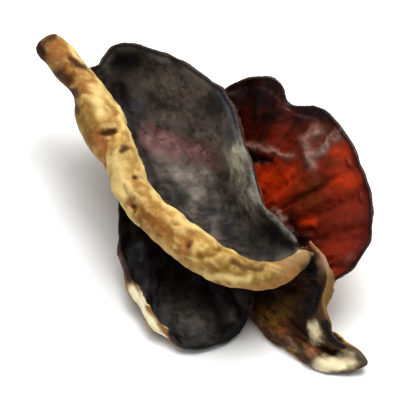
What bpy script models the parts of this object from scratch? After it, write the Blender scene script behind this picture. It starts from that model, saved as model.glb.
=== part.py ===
"""A dried wood ear: one fruiting body of four lobes grown from one knot, cut off flat from its wood.

The biggest lobe is a boat-shaped cup whose near margin has curled inwards as it dried. A thin ear stands at
its right, a rounded lobe lies flat in front of it, and a narrow tail hangs to the table between those two.
Run with: blender --background --python part.py
"""

import math

import bmesh
import bpy
import numpy as np
from mathutils import Vector, noise

MM = 0.001

# Driving dimensions, in millimetres.
THICKNESS = 1.15  # of the dried flesh in the middle of a lobe
EAR_THICKNESS = 0.85  # of the thin ear, which lets light through
RIM_THICKNESS = 0.7  # at the margins
PLEAT = 0.28  # how far the pleats that spread from the knot push an outer lobe up and down, halfway out
PLEAT_WIDTH = 5.5  # from one pleat to the next along the margin
LIP = 2.4  # the width of the margin that curls up on the outer lobes
SWELL = 0.55  # how far drying has pushed the flesh in and out in the middle of a lobe
MARGIN_SWELL = 1.1  # and at its margin
SWELL_LENGTH = 7.0  # from one such swell to the next
REST = 0.45  # how low a lobe's middle surface comes to the table that it lies on

# How finely the lobes are divided: facets from one given point of a rib to the next, and from rib to rib.
# Grown together, they are made of even facets this wide, and this share of those is kept, the most where the
# flesh bends.
FACETS = (4, 6)
FUSED_FACET = 0.28
KEPT_FACETS = 0.044

# Where the points of a rib lie. In the cup: how far the walls and the floor are from the near margin, as a
# share of the way to the far one, with their height as a share of the wall's, then the turns round the curl,
# in degrees. In the other lobes: shares of the way from the root to the lip, then of the lip.
FAR_WALL = [(1.0, 1.0), (0.98, 0.60), (0.88, 0.22), (0.68, 0.0)]
NEAR_WALL = [(0.42, 0.06), (0.20, 0.36)]
CURL_TURNS = (205, 155, 105, 55, 5, -40)
RIB_STEPS = (0.0, 0.3, 0.65)
LIP_STEPS = (0.0, 0.33, 0.67, 1.0)

# The lobes are laid out on a plane that leans back by this much, seen square on. A place is (across, up,
# height): where it is on that plane, and how high above the table, in millimetres from the middle of the cut.
LEAN = math.radians(48.0)

# The cup, from its left tip to its right corner. Each rib gives the middle of the curled margin, the far
# margin across from it, the height of the cup's floor between them, and the radius of the curl.
CUP_RIBS = [
    ((-17.6, 24.8, 14.5), (-16.5, 25.2, 13.6), 12.2, 1.8),
    ((-15.2, 22.0, 14.0), (-14.0, 22.4, 13.3), 11.5, 1.65),
    ((-12.6, 18.8, 13.6), (-11.4, 22.6, 14.6), 9.6, 1.55),
    ((-11.0, 14.9, 13.3), (-9.2, 25.0, 16.3), 7.2, 2.45),
    ((-9.9, 12.3, 13.0), (-7.2, 25.3, 17.0), 6.2, 2.3),
    ((-8.3, 10.1, 12.8), (-4.6, 24.6, 17.5), 5.4, 1.75),
    ((-5.7, 5.0, 12.4), (0.3, 22.6, 18.0), 4.3, 1.6),
    ((-2.2, 1.0, 12.0), (4.5, 19.6, 17.5), 3.8, 1.75),
    ((3.4, -3.0, 11.6), (7.2, 15.3, 16.0), 3.8, 1.95),
    ((8.2, -5.2, 11.0), (8.9, 9.9, 14.0), 4.4, 1.85),
    ((12.6, -5.5, 10.0), (10.5, 3.9, 11.5), 5.8, 1.3),
    ((16.6, -2.9, 9.0), (15.6, -1.1, 9.2), 7.5, 0.8),
]

# The other lobes. Each has its root in the knot, from side to side; its margin, from side to side as (across,
# up, height, degrees that the lip curls up); and how far it bows down (below zero) or up between the two.
EAR_ROOT = [(3.0, 3.0, 2.2), (3.0, -1.0, 2.2)]
EAR_MARGIN = [
    (4.2, 18.0, 13.0, 0),
    (7.2, 20.1, 16.0, 50),
    (10.4, 20.8, 17.6, 70),
    (13.2, 20.0, 18.2, 40),
    (14.6, 16.9, 18.4, 10),
    (19.0, 16.1, 18.2, 40),
    (22.3, 11.6, 17.2, 60),
    (24.6, 5.4, 15.0, 60),
    (25.0, -0.6, 12.0, 50),
    (22.8, -5.0, 9.0, 30),
    (18.9, -7.4, 6.0, 10),
]
EAR_BOW = -3.0

FRONT_ROOT = [(-3.5, 0.5, 2.2), (2.5, 0.0, 2.2)]
FRONT_MARGIN = [
    (-8.7, 4.2, 5.2, 0),
    (-9.0, -0.6, 4.2, 40),
    (-8.2, -5.1, 3.0, 120),
    (-5.9, -9.3, 2.2, 190),
    (-3.2, -13.4, 1.2, 150),
    (0.4, -15.6, 0.7, 20),
    (4.4, -15.2, 0.6, 0),
    (7.6, -13.5, 0.8, 0),
    (9.3, -10.5, 2.0, 20),
    (10.2, -6.6, 4.0, 0),
]
FRONT_BOW = 1.4

TAIL_ROOT = [(3.0, 0.5, 2.4), (3.0, -1.5, 2.4)]
TAIL_MARGIN = [
    (16.8, -2.4, 8.5, 80),
    (19.4, -6.6, 7.2, 130),
    (18.8, -10.8, 5.2, 150),
    (20.7, -14.2, 3.0, 130),
    (24.5, -16.8, 1.6, 60),
    (22.6, -18.4, 0.6, 20),
    (18.6, -18.2, 0.6, 0),
    (15.0, -15.9, 0.8, 20),
    (11.1, -12.9, 1.2, 10),
    (9.0, -9.0, 2.5, 0),
]
TAIL_BOW = -1.6

# The knot: (height, radius) from just under the cut upwards, how much longer it is than wide, and its bulges,
# each (how many, how far out as a share of the radius).
KNOT_PROFILE = [(-0.8, 4.0), (0.0, 4.7), (1.2, 5.4), (2.6, 5.2), (3.9, 3.6)]
KNOT_SIDES = 30
KNOT_STRETCH = 1.2
KNOT_BULGES = [(3, 0.12), (5, 0.06)]
WOOD = (100.0, 4.0)  # the block taken away below the cut: wider than the ear, and deeper than a lobe reaches


def seat(place):
    """The point in space of (across, up, height)."""
    across, up, height = place[:3]
    return np.array([across, (up - height * math.cos(LEAN)) / math.sin(LEAN), height])


def through(points, count):
    """`count` points on a smooth curve through the given ones, evenly spaced in their numbering."""
    p = np.asarray(points, float)
    p = np.vstack([2 * p[0] - p[1], p, 2 * p[-1] - p[-2]])
    spans = len(p) - 3
    line = []
    for t in np.linspace(0, spans, count):
        k = min(int(t), spans - 1)
        u = t - k
        a, b, c, d = p[k : k + 4]
        bend = (2 * a - 5 * b + 4 * c - d) * u**2 + (3 * b - a - 3 * c + d) * u**3
        line.append(b + 0.5 * ((c - a) * u + bend))
    return np.array(line)


def cup_ribs():
    """The ribs of the cup: down the far wall, over the floor, up the near wall and round the curl."""
    curl_line = np.array([seat(rib[0]) for rib in CUP_RIBS])
    along = np.gradient(curl_line[:, :2], axis=0)
    ribs = []
    for (near, far, floor, curl), (east, north) in zip(CUP_RIBS, along):
        n, f = seat(near), seat(far)
        across = f[:2] - n[:2]
        rise = f[2] - floor
        climb = n[2] - floor
        rib = [[*(n[:2] + across * share), floor + rise * up] for share, up in FAR_WALL]
        rib += [[*(n[:2] + across * share), floor + climb * up] for share, up in NEAR_WALL]
        inward = np.array([-north, east]) / math.hypot(east, north)
        for degrees in CURL_TURNS:
            turn = math.radians(degrees)
            out = n[:2] + inward * curl * math.cos(turn)
            rib.append([*out, n[2] + curl * math.sin(turn)])
        ribs.append(rib)
    return ribs


def fan_ribs(root, margin, bow):
    """The ribs of an outer lobe, from its root in the knot to its margin, where the lip curls up."""
    ribs = []
    for i, end in enumerate(margin):
        share = i / (len(margin) - 1)
        start = seat(root[0]) * (1 - share) + seat(root[1]) * share
        tip = seat(end)
        out = (tip - start) / np.linalg.norm(tip - start)
        lift = np.array([0, 0, 1]) - out * out[2]
        lift /= np.linalg.norm(lift)
        turn = math.radians(max(end[3], 2))
        radius = LIP / turn
        base = tip - out * radius * math.sin(min(turn, math.pi / 2))
        rib = []
        for step in RIB_STEPS:
            point = start * (1 - step) + base * step
            point[2] += bow * math.sin(math.pi * step)
            rib.append(point)
        for step in LIP_STEPS:
            bent = turn * step
            rib.append(base + out * radius * math.sin(bent) + lift * radius * (1 - math.cos(bent)))
        ribs.append(rib)
    return ribs


def normals_of(grid):
    n = np.cross(np.gradient(grid, axis=0), np.gradient(grid, axis=1))
    return n / np.maximum(np.linalg.norm(n, axis=2, keepdims=True), 1e-9)


def sheet(ribs, pleat):
    """A lobe's middle surface, a row of points for each step along its ribs, with its swells and pleats."""
    rows = (len(ribs[0]) - 1) * FACETS[0] + 1
    columns = (len(ribs) - 1) * FACETS[1] + 1
    lines = np.array([through(rib, rows) for rib in ribs])
    grid = np.array([through(lines[:, r], columns) for r in range(rows)])
    swell = np.array([[noise.noise(Vector(p / SWELL_LENGTH)) for p in row] for row in grid])
    reach = np.abs(np.linspace(-1, 1, columns)) ** 3
    size = SWELL + (MARGIN_SWELL - SWELL) * reach
    steps = np.linalg.norm(np.diff(grid[-1], axis=0), axis=1)
    margin = np.concatenate([[0], np.cumsum(steps)])
    wave = np.sin(2 * math.pi * margin / PLEAT_WIDTH + 2.5 * swell)
    halfway = np.sin(math.pi * np.linspace(0, 1, rows))[:, None]
    grid += normals_of(grid) * (swell * size + pleat * wave * halfway)[..., None]
    grid[..., 2] = np.maximum(grid[..., 2], REST)
    return grid


def add_lobe(bm, grid, thickness):
    """A closed shell round the sheet, thinner at its margins."""
    rows, columns = grid.shape[:2]
    half = np.full((rows, columns, 1), thickness / 2)
    half[[0, -1]] = half[:, [0, -1]] = RIM_THICKNESS / 2
    offset = normals_of(grid) * half
    one = [[bm.verts.new(p * MM) for p in row] for row in grid + offset]
    two = [[bm.verts.new(p * MM) for p in row] for row in grid - offset]
    faces = []
    for i in range(rows - 1):
        for j in range(columns - 1):
            faces.append(bm.faces.new([one[i][j], one[i][j + 1], one[i + 1][j + 1], one[i + 1][j]]))
            faces.append(bm.faces.new([two[i][j], two[i + 1][j], two[i + 1][j + 1], two[i][j + 1]]))
    ring = [(0, j) for j in range(columns)] + [(i, columns - 1) for i in range(1, rows)]
    ring += [(rows - 1, j) for j in range(columns - 2, -1, -1)] + [(i, 0) for i in range(rows - 2, 0, -1)]
    for (i, j), (m, n) in zip(ring, ring[1:] + ring[:1]):
        faces.append(bm.faces.new([one[i][j], two[i][j], two[m][n], one[m][n]]))
    bmesh.ops.recalc_face_normals(bm, faces=faces)


def add_knot(bm):
    """The hard knot under the lobes, which the cut goes through."""
    rings = []
    for height, radius in KNOT_PROFILE:
        ring = []
        for k in range(KNOT_SIDES):
            turn = 2 * math.pi * k / KNOT_SIDES
            bulge = sum(size * math.sin(count * turn + height) for count, size in KNOT_BULGES)
            reach = radius * (1 + bulge) * MM
            side = reach * math.sin(turn) / KNOT_STRETCH
            ring.append(bm.verts.new((reach * math.cos(turn), side, height * MM)))
        rings.append(ring)
    for lower, upper in zip(rings, rings[1:]):
        for k in range(KNOT_SIDES):
            n = (k + 1) % KNOT_SIDES
            bm.faces.new([lower[k], lower[n], upper[n], upper[k]])
    bm.faces.new(rings[0][::-1])
    bm.faces.new(rings[-1])


def new_object(name, bm):
    mesh = bpy.data.meshes.new(name)
    bm.to_mesh(mesh)
    bm.free()
    made = bpy.data.objects.new(name, mesh)
    bpy.context.scene.collection.objects.link(made)
    return made


def wood_under_cut():
    """The block of wood below the cut, taken away from the ear."""
    bm = bmesh.new()
    bmesh.ops.create_cube(bm, size=1)
    width, depth = WOOD
    bmesh.ops.scale(bm, vec=(width * MM, width * MM, depth * MM), verts=bm.verts)
    bmesh.ops.translate(bm, vec=(0, 0, -depth / 2 * MM), verts=bm.verts)
    wood = new_object("wood_under_cut", bm)
    wood.hide_render = True
    wood.display_type = "WIRE"
    return wood


def flesh_material():
    flesh = bpy.data.materials.new("dried_flesh")
    flesh.use_nodes = True
    shader = flesh.node_tree.nodes["Principled BSDF"]
    shader.inputs["Base Color"].default_value = (0.045, 0.035, 0.033, 1)
    shader.inputs["Roughness"].default_value = 0.6
    shader.inputs["Metallic"].default_value = 0.0
    return flesh


def main():
    for old in list(bpy.data.objects):
        bpy.data.objects.remove(old)
    bm = bmesh.new()
    add_lobe(bm, sheet(cup_ribs(), 0), THICKNESS)
    add_lobe(bm, sheet(fan_ribs(EAR_ROOT, EAR_MARGIN, EAR_BOW), PLEAT), EAR_THICKNESS)
    add_lobe(bm, sheet(fan_ribs(FRONT_ROOT, FRONT_MARGIN, FRONT_BOW), PLEAT), THICKNESS)
    add_lobe(bm, sheet(fan_ribs(TAIL_ROOT, TAIL_MARGIN, TAIL_BOW), PLEAT), THICKNESS)
    add_knot(bm)
    ear = new_object("wood_ear", bm)

    grown = ear.modifiers.new("grown_together", "REMESH")
    grown.mode = "VOXEL"
    grown.voxel_size = FUSED_FACET * MM
    fewer = ear.modifiers.new("fewer_facets", "DECIMATE")
    fewer.ratio = KEPT_FACETS
    cut = ear.modifiers.new("cut_off_flat", "BOOLEAN")
    cut.operation = "DIFFERENCE"
    cut.object = wood_under_cut()

    ear.data.materials.append(flesh_material())
    ear.data.shade_smooth()


main()
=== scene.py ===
import math

import bmesh
import bpy
import numpy as np
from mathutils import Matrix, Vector, kdtree, noise


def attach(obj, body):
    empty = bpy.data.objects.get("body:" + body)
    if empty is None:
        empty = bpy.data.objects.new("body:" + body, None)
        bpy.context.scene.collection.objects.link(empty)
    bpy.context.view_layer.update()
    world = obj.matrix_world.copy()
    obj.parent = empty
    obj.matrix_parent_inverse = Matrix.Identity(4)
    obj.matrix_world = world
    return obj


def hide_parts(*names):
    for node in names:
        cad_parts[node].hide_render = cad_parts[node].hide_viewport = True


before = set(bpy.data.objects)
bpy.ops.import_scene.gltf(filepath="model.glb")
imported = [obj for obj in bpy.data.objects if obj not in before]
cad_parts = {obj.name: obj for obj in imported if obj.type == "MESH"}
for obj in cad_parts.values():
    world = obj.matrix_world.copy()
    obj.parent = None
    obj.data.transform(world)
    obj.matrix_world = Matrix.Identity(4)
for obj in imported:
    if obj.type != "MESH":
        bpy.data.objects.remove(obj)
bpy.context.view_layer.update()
scene = bpy.context.scene
mm = 0.001
# The lobes are laid out on a plane square to the camera, which looks down this steeply. A place on a lobe is
# (across, up, height): across and up on that plane, height above the table, all in mm.
lean = math.radians(48.0)


def seat(place):  # from (across, up, height) to x, y, z, all in mm
    across, up, height = place[:3]
    return np.array([across, (up - height * math.cos(lean)) / math.sin(lean), height])


def smoothThrough(points, count):  # along the first axis
    p = np.asarray(points, float)
    p = np.concatenate([2 * p[:1] - p[1:2], p, 2 * p[-1:] - p[-2:-1]])
    t = np.linspace(0, len(p) - 3, count)
    k = np.minimum(t.astype(int), len(p) - 4)
    u = (t - k).reshape(-1, *[1] * (p.ndim - 1))
    a, b, c, d = p[k], p[k + 1], p[k + 2], p[k + 3]
    bend = (2 * a - 5 * b + 4 * c - d) * u**2 + (3 * b - a - 3 * c + d) * u**3
    return b + 0.5 * ((c - a) * u + bend)


def ramp(values, low, high):
    t = np.clip((values - low) / (high - low), 0, 1)
    return t * t * (3 - 2 * t)


def perlin(points, size, shift=0.0):  # -1 to 1 at each point, from one swell to the next in size mm
    flat = (np.asarray(points).reshape(-1, 3) / size + shift).tolist()
    return np.array([noise.noise(p) for p in flat]).reshape(np.shape(points)[:-1])


def normalsOf(grid):  # of a sheet, at each of its points
    n = np.cross(np.gradient(grid, axis=0), np.gradient(grid, axis=1))
    return n / np.maximum(np.linalg.norm(n, axis=2, keepdims=True), 1e-9)


def eased(grid, times):  # the lines out from the root lose their kinks, the ends stay
    for _ in range(times):
        grid = grid.copy()
        grid[1:-1] += 0.25 * (grid[:-2] + grid[2:] - 2 * grid[1:-1])
    return grid


def softened(grid, times):  # neighbouring lines even out, less and less towards the margin
    share = (1 - np.linspace(0, 1, len(grid)) ** 4)[:, None, None]
    for _ in range(times):
        grid = grid.copy()
        grid[:, 1:-1] += 0.25 * share * (grid[:, :-2] + grid[:, 2:] - 2 * grid[:, 1:-1])
    return grid


def arcs(grid, axis):  # distance in mm from the first point of each line of the grid
    steps = np.linalg.norm(np.diff(grid, axis=axis), axis=2)
    return np.concatenate([np.zeros_like(steps.take([0], axis)), np.cumsum(steps, axis)], axis)


flesh = {  # what all lobes share, in mm
    "rimThickness": 0.4,
    "rimTaper": 0.9,
    "lip": 2.4,
    "ribSteps": (0.0, 0.3, 0.65),
    "lipSteps": (0.0, 0.33, 0.67, 1.0),
    "swell": 0.55,
    "marginSwell": 1.1,
    "swellLength": 7.0,
    "pleatDrift": 2.5,  # how far the swells push the pleats along
    "pleatWidth": 5.5,
    "buried": (0.2, 0.32),  # share of the way out; before it a lobe is painted like the cup it grows from
    "rest": 0.45,  # how low a lobe's middle comes to the table
    "skinFacet": 0.21,
    "mostTriangles": 198000,
}


def lobeSheet(ribs, lobe):  # a smooth sheet through the ribs, swollen and pleated as drying leaves it
    rows, columns = lobe["points"]
    lines = smoothThrough(ribs.transpose(1, 0, 2), rows)
    grid = eased(smoothThrough(lines.transpose(1, 0, 2), columns).transpose(1, 0, 2), lobe["ease"])
    grid = softened(grid, lobe.get("soften", 0))
    swell = perlin(grid, flesh["swellLength"])
    toMarginShare = np.abs(np.linspace(-1, 1, columns)) ** 3  # the swells grow late and steeply
    size = flesh["swell"] + (flesh["marginSwell"] - flesh["swell"]) * toMarginShare
    steps = np.linalg.norm(np.diff(grid[-1], axis=0), axis=1)
    margin = np.concatenate([[0], np.cumsum(steps)])
    wave = np.sin(2 * math.pi * margin / flesh["pleatWidth"] + flesh["pleatDrift"] * swell)
    halfway = np.sin(math.pi * np.linspace(0, 1, rows))[:, None]
    grid = grid + normalsOf(grid) * (swell * size + lobe["pleat"] * wave * halfway)[..., None]
    grid[..., 2] = np.maximum(grid[..., 2], flesh["rest"])
    return grid


# the shells of all lobes, and what each of their points knows about its place on its lobe
shellPoints, shellFaces, shellFacts, shellNormals = [], [], [], []
factNames = ["onCup", "onEar", "onFront", "onTail", "onKnot"]  # which lobe it is on, 0 to 1
factNames += ["under", "toMargin"]  # 1 on the downy side, and mm to the nearest margin
factNames += ["outward", "sideways", "reach"]  # share of the way out, mm along the margin, mm to the lip


def factTable(count, known):
    table = np.zeros((count, len(factNames)))
    for name, values in known.items():
        table[:, factNames.index(name)] = values
    return table


def addShell(part, lobe, grid, upperSide):  # upperSide: 1 if the grid's normals point out of the dark side
    rows, columns = grid.shape[:2]
    outward = arcs(grid, 0)
    sideways = arcs(grid, 1)
    length = outward[-1:]
    toEnd = length - outward
    toMargin = np.minimum(toEnd, np.minimum(sideways, sideways[:, -1:] - sideways))
    buried = 1 - ramp(outward / length, *flesh["buried"]).ravel()
    if part == "onCup":  # its ribs have a free margin at both ends
        toMargin = np.minimum(toMargin, outward)
        buried = 0
    thin = np.clip(np.minimum(toMargin, outward) / flesh["rimTaper"], 0, 1)
    half = (flesh["rimThickness"] + (lobe["thickness"] - flesh["rimThickness"]) * thin) / 2
    offset = normalsOf(grid) * half[..., None]
    below = rows * columns
    start = sum(len(p) for p in shellPoints)
    index = start + np.arange(below).reshape(rows, columns)
    a, b, c, d = index[:-1, :-1], index[:-1, 1:], index[1:, 1:], index[1:, :-1]
    ring = np.concatenate([index[0], index[1:, -1], index[-1, -2::-1], index[-2:0:-1, 0]])
    nextRing = np.roll(ring, -1)
    shellPoints.extend([(grid + offset).reshape(-1, 3), (grid - offset).reshape(-1, 3)])
    shellFaces.append(np.stack([a, b, c, d], -1).reshape(-1, 4))
    shellFaces.append(np.stack([a, d, c, b], -1).reshape(-1, 4) + below)
    shellFaces.append(np.stack([ring, ring + below, nextRing + below, nextRing], -1))
    for side in (1, -1):
        shellFacts.append(factTable(below, {
            "onCup": buried,
            part: 1 - buried,
            "under": 0.5 - 0.5 * side * upperSide,
            "toMargin": toMargin.ravel(),
            "outward": (outward / length).ravel(),
            "sideways": (sideways[-1:] + 0 * outward).ravel(),
            "reach": toEnd.ravel(),
        }))
        shellNormals.append(side * normalsOf(grid).reshape(-1, 3))


cup = {
    "thickness": 1.15,
    "pleat": 0.0,
    "ease": 8,
    "points": (150, 170),  # along the ribs, and from rib to rib
    # each rib: middle of the curled margin, far margin, height of the floor between, radius of the curl
    "ribs": [
        ((-18.3, 25.3, 14.5), (-17.2, 25.7, 13.6), 12.2, 1.8),
        ((-15.2, 22.0, 14.0), (-14.0, 22.4, 13.3), 11.5, 1.65),
        ((-12.6, 18.8, 13.6), (-11.4, 22.6, 14.6), 9.6, 1.55),
        ((-11.0, 14.9, 13.3), (-9.2, 25.0, 16.3), 7.2, 2.45),
        ((-9.9, 12.3, 13.0), (-7.2, 25.3, 17.0), 6.2, 2.3),
        ((-8.4, 10.0, 12.8), (-4.6, 24.6, 17.5), 5.4, 1.65),
        ((-5.9, 4.8, 12.4), (0.3, 22.6, 18.0), 4.3, 1.6),
        ((-2.1, 0.8, 12.0), (4.5, 19.6, 17.5), 3.8, 1.7),
        ((3.2, -3.4, 11.6), (7.2, 15.3, 16.0), 3.8, 2.05),
        ((8.2, -5.45, 11.0), (8.9, 9.9, 14.0), 4.4, 1.4),
        ((12.7, -5.5, 10.0), (10.5, 3.9, 11.5), 5.8, 1.15),
        ((16.8, -2.7, 9.0), (15.6, -1.1, 9.2), 7.5, 0.7),
    ],
    # (share of the way to the far margin, share of the wall's height), then the turns round the curl
    "farWall": [(1.0, 1.0), (0.98, 0.60), (0.88, 0.22), (0.68, 0.0)],
    "nearWall": [(0.42, 0.06), (0.20, 0.36)],
    "curlTurns": (205, 155, 105, 55, 5, -40),
}


def cupRibs():  # from the far margin down, over the floor, up and round the curl
    curlLine = np.array([seat(rib[0]) for rib in cup["ribs"]])
    along = np.gradient(curlLine[:, :2], axis=0)
    ribs = []
    for (near, far, floor, curl), (east, north) in zip(cup["ribs"], along):
        n, f = seat(near), seat(far)
        across = f[:2] - n[:2]
        rib = [[*(n[:2] + across * share), floor + (f[2] - floor) * up] for share, up in cup["farWall"]]
        rib += [[*(n[:2] + across * share), floor + (n[2] - floor) * up] for share, up in cup["nearWall"]]
        inward = np.array([-north, east]) / math.hypot(east, north)
        for degrees in cup["curlTurns"]:
            turn = math.radians(degrees)
            out = n[:2] + inward * curl * math.cos(turn)
            rib.append([*out, n[2] + curl * math.sin(turn)])
        ribs.append(rib)
    return np.array(ribs)


addShell("onCup", cup, lobeSheet(cupRibs(), cup), 1)


def fanRibs(lobe):  # from the root out to the margin, where the lip curls up
    ribs = []
    for i, end in enumerate(lobe["margin"]):
        share = i / (len(lobe["margin"]) - 1)
        start = seat(lobe["root"][0]) * (1 - share) + seat(lobe["root"][1]) * share
        tip = seat(end)
        out = (tip - start) / np.linalg.norm(tip - start)
        lift = np.array([0, 0, 1]) - out * out[2]
        lift /= np.linalg.norm(lift)
        turn = math.radians(max(end[3], 2))
        radius = flesh["lip"] / turn
        base = tip - out * radius * math.sin(min(turn, math.pi / 2))
        rib = []
        for step in flesh["ribSteps"]:
            point = start * (1 - step) + base * step
            point[2] += lobe["bow"] * math.sin(math.pi * step)
            rib.append(point)
        for step in flesh["lipSteps"]:
            bent = turn * step
            rib.append(base + out * radius * math.sin(bent) + lift * radius * (1 - math.cos(bent)))
        ribs.append(rib)
    return np.array(ribs)


thinEar = {
    "thickness": 0.85,
    "pleat": 0.28,
    "ease": 40,
    "soften": 160,
    "points": (110, 200),
    "root": [(3.0, 3.0, 2.2), (3.0, -1.0, 2.2)],
    # each margin point also has the degrees that the lip curls up
    "margin": [
        (4.2, 18.0, 13.0, 0),
        (7.2, 20.1, 16.0, 50),
        (10.4, 20.8, 17.6, 70),
        (13.2, 20.0, 18.2, 40),
        (14.6, 16.9, 17.0, 10),
        (19.0, 16.1, 18.2, 40),
        (22.5, 11.8, 17.2, 60),
        (24.9, 5.5, 15.0, 60),
        (25.3, -0.6, 12.0, 50),
        (23.0, -5.1, 9.0, 30),
        (18.9, -7.4, 6.0, 10),
    ],
    "bow": -3.0,
}
frontLobe = {
    "thickness": 1.15,
    "pleat": 0.28,
    "ease": 30,
    "points": (80, 150),
    "root": [(-3.5, 0.5, 2.2), (2.5, 0.0, 2.2)],
    "margin": [
        (-8.7, 4.2, 5.2, 0),
        (-9.0, -0.6, 4.2, 40),
        (-8.2, -5.1, 3.0, 120),
        (-5.9, -9.3, 2.2, 190),
        (-3.2, -13.4, 1.2, 150),
        (0.4, -15.6, 0.7, 20),
        (4.4, -15.2, 0.6, 0),
        (7.6, -13.5, 0.8, 0),
        (9.3, -10.5, 2.0, 20),
        (10.2, -6.6, 4.0, 0),
    ],
    "bow": 1.4,
}
tailLobe = {
    "thickness": 1.15,
    "pleat": 0.28,
    "ease": 30,
    "points": (90, 150),
    "root": [(3.0, 0.5, 2.4), (3.0, -1.5, 2.4)],
    "margin": [
        (16.8, -2.4, 8.5, 80),
        (19.4, -6.0, 7.4, 105),
        (18.7, -10.9, 5.2, 115),
        (20.1, -15.1, 2.5, 80),
        (24.4, -17.3, 1.4, 30),
        (22.6, -18.4, 0.6, 20),
        (18.6, -18.2, 0.6, 0),
        (15.0, -15.9, 0.8, 20),
        (11.1, -12.9, 1.2, 10),
        (9.0, -9.0, 2.5, 0),
    ],
    "bow": -1.6,
}
addShell("onEar", thinEar, lobeSheet(fanRibs(thinEar), thinEar), -1)
addShell("onFront", frontLobe, lobeSheet(fanRibs(frontLobe), frontLobe), 1)
addShell("onTail", tailLobe, lobeSheet(fanRibs(tailLobe), tailLobe), -1)

knot = {  # the woody stub, cut off flat
    "profile": [(-0.8, 4.0), (0.0, 4.7), (1.2, 5.4), (2.6, 5.2), (3.9, 3.6)],  # height, radius
    "rings": 24,
    "sides": 120,
    "stretch": 1.2,
    "bulges": [(3, 0.12), (5, 0.06)],  # how many, how far out as a share of the radius
    "toMargin": 9,  # far enough from any margin to get no rim
}


def addKnot():  # rings from the cut up into the lobes' roots, closed at both ends
    turn = np.linspace(0, 2 * math.pi, knot["sides"], endpoint=False)
    rings = []
    for height, radius in smoothThrough(knot["profile"], knot["rings"]):
        bulge = 1 + sum(size * np.sin(count * turn + height) for count, size in knot["bulges"])
        reach = radius * bulge
        ring = [reach * np.cos(turn), reach * np.sin(turn) / knot["stretch"], 0 * turn + height]
        rings.append(np.stack(ring, -1))
    points = np.concatenate([*rings, [[0, 0, knot["profile"][0][0]]], [[0, 0, knot["profile"][-1][0]]]])
    start = sum(len(p) for p in shellPoints)
    shellPoints.append(points)
    around = np.arange(knot["sides"])
    onward = np.roll(around, -1)
    for r in range(len(rings) - 1):
        low, high = start + r * knot["sides"], start + (r + 1) * knot["sides"]
        shellFaces.append(np.stack([low + around, low + onward, high + onward, high + around], -1))
    bottom, top = start + len(points) - 2, start + len(points) - 1
    last = start + (len(rings) - 1) * knot["sides"]
    shellFaces.append(np.stack([start + onward, start + around, bottom + 0 * around], -1))
    shellFaces.append(np.stack([last + around, last + onward, top + 0 * around], -1))
    shellFacts.append(factTable(len(points), {"onKnot": 1, "under": 1, "toMargin": knot["toMargin"]}))
    outwards = points - points.mean(0)
    shellNormals.append(outwards / np.linalg.norm(outwards, axis=1, keepdims=True))


addKnot()
points = np.concatenate(shellPoints)
facts = np.concatenate(shellFacts)
facing = np.concatenate(shellNormals)
print("shells:", len(points), "points")

# one skin round all of them
draftMesh = bpy.data.meshes.new("draftShells")
draftMesh.from_pydata((points * mm).tolist(), [], [face for group in shellFaces for face in group.tolist()])
draft = bpy.data.objects.new("draftShells", draftMesh)
scene.collection.objects.link(draft)
grown = draft.modifiers.new("grownTogether", "REMESH")
grown.mode = "VOXEL"
grown.voxel_size = flesh["skinFacet"] * mm
depsgraph = bpy.context.evaluated_depsgraph_get()
skinMesh = bpy.data.meshes.new_from_object(draft.evaluated_get(depsgraph))
skinMesh.name = "driedWoodEar"
bpy.data.objects.remove(draft)
bpy.data.meshes.remove(draftMesh)
woodEar = bpy.data.objects.new("dried_wood_ear", skinMesh)
scene.collection.objects.link(woodEar)
print("skin:", len(skinMesh.vertices), "points", len(skinMesh.polygons), "faces")


def edgesOf(mesh):  # the two points of every edge
    pairs = np.zeros((len(mesh.edges), 2), int)
    mesh.edges.foreach_get("vertices", pairs.ravel())
    return pairs


def takeOutCrumbs(mesh):  # loose crumbs stay behind in the tightest folds, and only the largest lump is kept
    pairs = edgesOf(mesh)
    lump = np.arange(len(mesh.vertices))  # in the end, the lowest number among the points that hang together
    while True:
        joined = lump.copy()
        np.minimum.at(joined, lump[pairs].ravel(), np.repeat(lump[pairs].min(1), 2))
        joined = joined[joined]
        if (joined == lump).all():
            break
        lump = joined
    crumbs = np.nonzero(lump != np.bincount(lump).argmax())[0]
    kept = bmesh.new()
    kept.from_mesh(mesh)
    kept.verts.ensure_lookup_table()
    bmesh.ops.delete(kept, geom=[kept.verts[i] for i in crumbs.tolist()], context="VERTS")
    kept.to_mesh(mesh)
    kept.free()
    print("crumbs taken out:", len(crumbs), "points")


takeOutCrumbs(skinMesh)
edges = edgesOf(skinMesh)
skin = np.zeros((len(skinMesh.vertices), 3))
skinMesh.vertices.foreach_get("co", skin.ravel())
skin /= mm
neighbours = np.bincount(edges.ravel(), minlength=len(skin)).astype(float)


def evened(values, times):  # each point takes on half of its neighbours' mean, some times over
    for _ in range(times):
        mean = np.empty_like(values)
        for k in range(values.shape[1]):
            total = np.bincount(edges[:, 0], values[edges[:, 1], k], len(values))
            total += np.bincount(edges[:, 1], values[edges[:, 0], k], len(values))
            mean[:, k] = total / neighbours
        values = 0.5 * (values + mean)
    return values


def skinNormals(at):  # moves the skin's points there first
    skinMesh.vertices.foreach_set("co", (at * mm).ravel())
    skinMesh.update()
    n = np.zeros_like(at)
    skinMesh.vertices.foreach_get("normal", n.ravel())
    return n


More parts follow.
